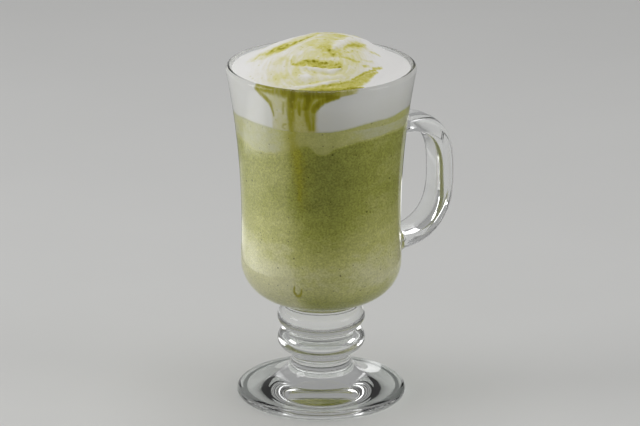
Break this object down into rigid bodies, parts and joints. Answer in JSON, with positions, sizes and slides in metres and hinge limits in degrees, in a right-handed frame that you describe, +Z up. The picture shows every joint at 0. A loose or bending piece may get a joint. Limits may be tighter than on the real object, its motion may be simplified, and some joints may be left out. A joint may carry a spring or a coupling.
{
  "type": "matcha latte",
  "caption": "Green matcha latte with pale milk and white foam heaped above the rim, in a clear footed glass mug with a ringed stem and an ear-shaped side handle.",
  "frame": {"origin": "centre of the foot's flat underside, on the glass's axis", "axes": "+Z up along the glass's axis, +X from the axis out through the middle of the handle, +Y to the left when looking along +X"},
  "size_m": [0.102, 0.0802, 0.1592],
  "materials": {
    "clear_glass": "polished, clear",
    "matcha_latte": "opaque milky green drink behind glass",
    "pale_milk": "opaque pale green milk behind glass",
    "milk_foam": "soft matt foam with green powder streaks"
  },
  "bodies": {
    "root": {"glass": "clear_glass", "latte": "matcha_latte", "milk_layer": "pale_milk", "foam": "milk_foam"}
  },
  "joints": []
}
